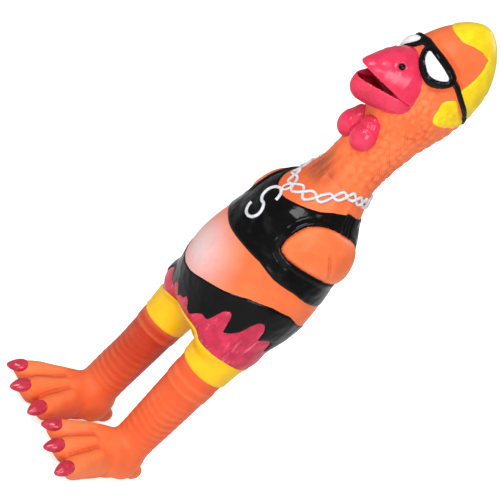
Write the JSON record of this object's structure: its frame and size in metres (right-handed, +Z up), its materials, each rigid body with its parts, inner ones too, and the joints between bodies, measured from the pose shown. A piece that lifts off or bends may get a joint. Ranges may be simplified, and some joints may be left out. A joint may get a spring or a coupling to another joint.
{
  "type": "rubber chicken squeeze toy",
  "caption": "Hollow latex chicken toy that stands on its feet in painted clothes and glasses, with flexing neck, beak, belly, hips and ankles and a reed sounder.",
  "frame": {"origin": "on the floor under the middle of the bounding box", "axes": "+Z up, beak towards -Y, the toy's left side towards +X"},
  "size_m": [0.1139, 0.1267, 0.435],
  "materials": {
    "orange_skin": "satin latex, pebbled",
    "black_paint": "glossy paint on latex",
    "pink_paint": "satin paint on latex",
    "yellow_paint": "satin paint on latex",
    "white_paint": "satin paint on latex",
    "silver_paint": "silver paint on latex",
    "sounder_plastic": "matte",
    "reed_brass": "plain"
  },
  "bodies": {
    "torso": {"collar": "orange_skin", "tank_top": "black_paint", "left_wing": "orange_skin", "right_wing": "orange_skin", "chain": "silver_paint", "pendant": "silver_paint", "belly_band": "orange_skin", "shorts": "black_paint", "fringe": "pink_paint", "left_cuff": "yellow_paint", "right_cuff": "yellow_paint", "left_hip_sleeve": "orange_skin", "right_hip_sleeve": "orange_skin", "lower_neck_sleeve": "orange_skin"},
    "belly": {"belly_panel": "orange_skin"},
    "neck": {"neck_ring": "orange_skin", "upper_neck_sleeve": "orange_skin"},
    "head": {"face": "orange_skin", "hair": "yellow_paint", "left_sideburn": "yellow_paint", "right_sideburn": "yellow_paint", "glasses": "black_paint", "left_lens": "white_paint", "right_lens": "white_paint", "upper_beak": "pink_paint", "left_wattle": "pink_paint", "right_wattle": "pink_paint", "sounder_tube": "sounder_plastic", "reed_plate": "sounder_plastic", "sounder_cap": "sounder_plastic"},
    "jaw": {"lower_beak": "pink_paint"},
    "reed": {"reed": "reed_brass"},
    "left_leg": {"left_shin": "orange_skin", "left_ankle_sleeve": "orange_skin"},
    "right_leg": {"right_shin": "orange_skin", "right_ankle_sleeve": "orange_skin"},
    "left_foot_group": {"left_foot": "orange_skin", "left_claws": "pink_paint"},
    "right_foot_group": {"right_foot": "orange_skin", "right_claws": "pink_paint"}
  },
  "joints": [
    {"name": "neck_nod", "type": "hinge", "parent": "torso", "child": "neck", "pos_m": [-0.0058, 0.01033, 0.294], "axis": [1, 0, 0], "range_deg": [-20, 22], "stiffness_Nm_per_rad": 2, "deforming": ["lower_neck_sleeve"]},
    {"name": "head_sway", "type": "hinge", "parent": "neck", "child": "head", "pos_m": [-0.0058, 0.01033, 0.309], "axis": [0, 1, 0], "range_deg": [-20, 20], "stiffness_Nm_per_rad": 2, "deforming": ["upper_neck_sleeve"]},
    {"name": "jaw_close", "type": "hinge", "parent": "head", "child": "jaw", "pos_m": [-0.0058, -0.01017, 0.3655], "axis": [-1, 0, 0], "range_deg": [0, 8], "stiffness_Nm_per_rad": 0.2},
    {"name": "belly_press", "type": "slide", "parent": "torso", "child": "belly", "axis": [0, 1, 0], "range_m": [0, 0.008], "stiffness_N_per_m": 500},
    {"name": "reed_lift", "type": "hinge", "parent": "head", "child": "reed", "pos_m": [-0.0058, 0.01883, 0.326], "axis": [-1, 0, 0], "range_deg": [0, 4], "stiffness_Nm_per_rad": 0.001},
    {"name": "left_hip", "type": "hinge", "parent": "torso", "child": "left_leg", "pos_m": [0.02339, 0.0149, 0.097], "axis": [0.9877, 0.1564, 0], "range_deg": [-40, 32], "stiffness_Nm_per_rad": 2, "deforming": ["left_hip_sleeve"]},
    {"name": "left_ankle", "type": "hinge", "parent": "left_leg", "child": "left_foot_group", "pos_m": [0.02339, 0.0149, 0.044], "axis": [0.9877, 0.1564, 0], "range_deg": [-25, 25], "stiffness_Nm_per_rad": 2, "deforming": ["left_ankle_sleeve"]},
    {"name": "right_hip", "type": "hinge", "parent": "torso", "child": "right_leg", "pos_m": [-0.0339, 0.00583, 0.097], "axis": [0.9877, 0.1564, 0], "range_deg": [-40, 32], "stiffness_Nm_per_rad": 2, "deforming": ["right_hip_sleeve"]},
    {"name": "right_ankle", "type": "hinge", "parent": "right_leg", "child": "right_foot_group", "pos_m": [-0.0339, 0.00583, 0.044], "axis": [0.9877, 0.1564, 0], "range_deg": [-25, 25], "stiffness_Nm_per_rad": 2, "deforming": ["right_ankle_sleeve"]}
  ]
}
